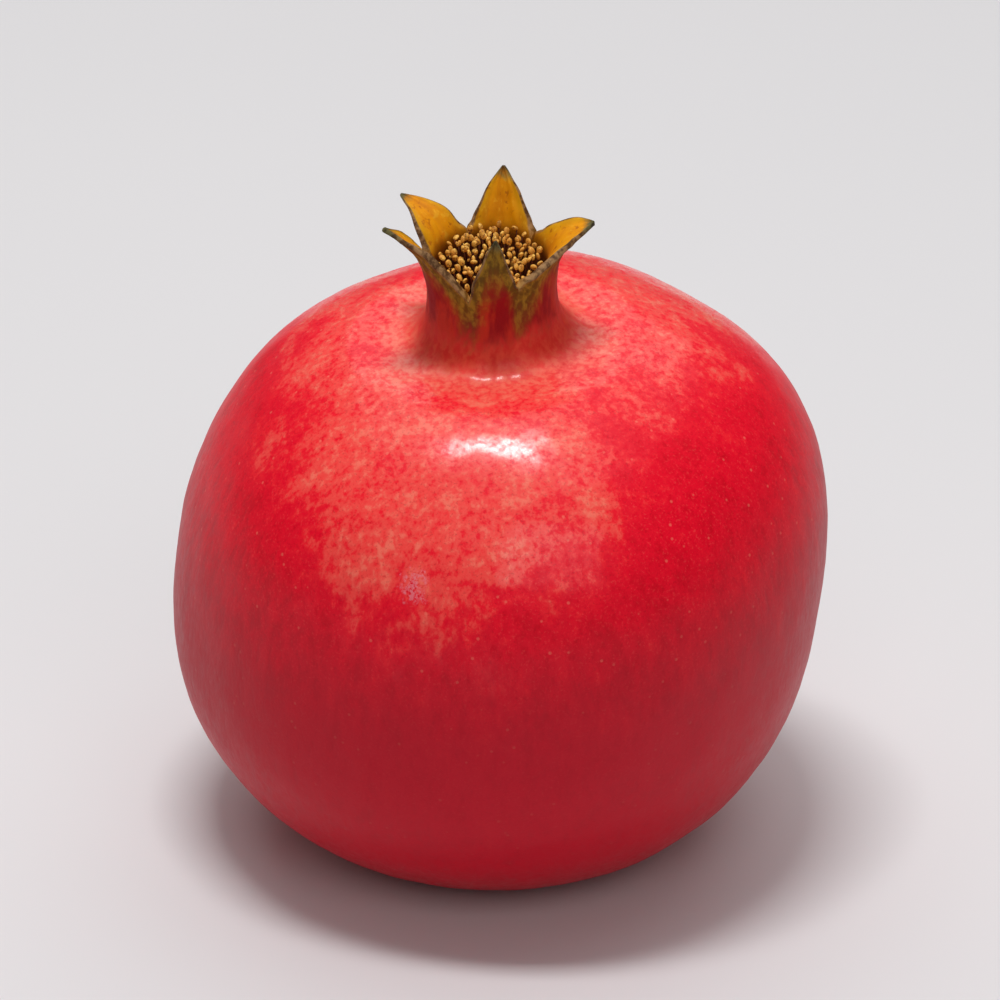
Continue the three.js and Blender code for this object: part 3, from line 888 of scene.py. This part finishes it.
def buildStem(material):
    found = spots("cut_stem")
    rise = (found - np.array(stemEnd)) @ np.array(axis)
    away = np.linalg.norm(found - np.array(stemEnd) - rise[:, None] * np.array(axis), axis=1)
    low, high, wide = rise.min(), rise.max(), away.max()
    first, second = crossFrame(axis, 0)
    sides = stem["sides"]
    turn = np.arange(sides) * 2 * math.pi / sides
    points, marks = [], []
    # rings outwards over the cut, then up the side, which widens towards the fruit
    lines = [(low, share, 1) for share in np.linspace(0.1, 0.72, stem["faceRings"])]
    for t in np.linspace(0.02, 1, stem["rows"]):
        share = 0.75 + 0.13 * smooth(t, 0, 0.25) + 0.12 * smooth(t, 0.55, 1.0)
        lines.append((low + (high - low) * t, share, 0))
    for at, share, onCut in lines:
        worn = 1 + 0.03 * np.sin(turn * 9 + 2) + 0.02 * np.sin(turn * 17 + at * 4000)
        ripple = at + onCut * 0.05 * mm * np.sin(share * 30 + turn * 3)
        r = wide * float(share) * worn
        for angle, distance, heightHere in zip(turn, r, np.broadcast_to(ripple, r.shape)):
            spoke = first * math.cos(angle) + second * math.sin(angle)
            points.append(stemEnd + axis * float(heightHere) + spoke * float(distance))
            marks.append([onCut, float(share), 0])
    piece = addMesh("cutStem", points, tubeFaces(sides, len(lines)), material, {"stemMap": marks})
    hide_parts("cut_stem")
    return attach(piece, "root")


buildStem(stemShader())
print("style and stem done")


studio = {
    "floorSize": 6.0,
    "airStrength": 0.14,
    "cameraAway": 1.315,
    "elevation": 26.7,
    "frameWidth": 0.158,  # width of the view at the fruit
    "lift": 0.5 * mm,  # of the middle of the view over the middle of the fruit
    "softboxes": [  # name, distance, azimuth, elevation, size and watts
        ("keyBox", 1.2, -48, 83.7, (0.41, 0.16), 8.0),
        ("wideBox", 1.4, 170, 72, (2.0, 1.5), 7.3),
        ("frontBox", 1.6, 12, 38, (1.2, 0.8), 4.5),
        ("backBox", 1.6, 178, 42, (1.5, 0.6), 2.5),
    ],
}


def buildFloor():
    s = Shader("paleFloor")
    soft = s.grain(s.places(), 3, 2, 0.5)
    s.set({
        "Base Color": s.mix(soft, colour(230, 228, 229), colour(225, 223, 225)),
        "Roughness": 0.6,
        "Specular IOR Level": 0.25,
    })
    half = studio["floorSize"] / 2
    corners = [(-half, -half, 0), (half, -half, 0), (half, half, 0), (-half, half, 0)]
    addMesh("paleFloor", corners, [[0, 1, 2, 3]], s.material, smoothShaded=False)


def softbox(centre, name, distance, azimuth, elevation, size, watts):
    turn, rise = math.radians(azimuth), math.radians(elevation)
    away = Vector((math.sin(turn) * math.cos(rise), -math.cos(turn) * math.cos(rise), math.sin(rise)))
    light = bpy.data.lights.new(name, "AREA")
    light.shape, light.size, light.size_y = "RECTANGLE", size[0], size[1]
    light.energy = watts
    box = bpy.data.objects.new(name, light)
    box.location = centre + away * distance
    side = (Vector((1, 0, 0)) - away * away.x).normalized()  # its long side stays level
    box.rotation_euler = Matrix((side, away.cross(side), away)).transposed().to_euler()
    bpy.context.scene.collection.objects.link(box)


def buildStudio():
    low, high = cadBox
    centre = Vector(((low[0] + high[0]) / 2, (low[1] + high[1]) / 2, (low[2] + high[2]) / 2))
    buildFloor()
    for box in studio["softboxes"]:
        softbox(centre, *box)
    scene = bpy.context.scene
    world = bpy.data.worlds.new("studioAir")
    scene.world = world
    world.use_nodes = True
    air = world.node_tree.nodes["Background"]
    air.inputs["Color"].default_value = (1, 1, 1, 1)
    air.inputs["Strength"].default_value = studio["airStrength"]
    scene.view_settings.view_transform = "Standard"
    rise = math.radians(studio["elevation"])
    back = Vector((0, -math.cos(rise), math.sin(rise)))
    lens = bpy.data.cameras.new("camera")
    lens.sensor_width = 36
    lens.lens = lens.sensor_width * studio["cameraAway"] / studio["frameWidth"]
    lens.clip_start = 0.05
    camera = bpy.data.objects.new("camera", lens)
    target = centre + Vector((0, 0, studio["lift"]))
    camera.location = target + back * studio["cameraAway"]
    camera.rotation_mode = "QUATERNION"
    camera.rotation_quaternion = back.to_track_quat("Z", "Y")
    scene.collection.objects.link(camera)
    scene.camera = camera


buildStudio()
print("studio ready")
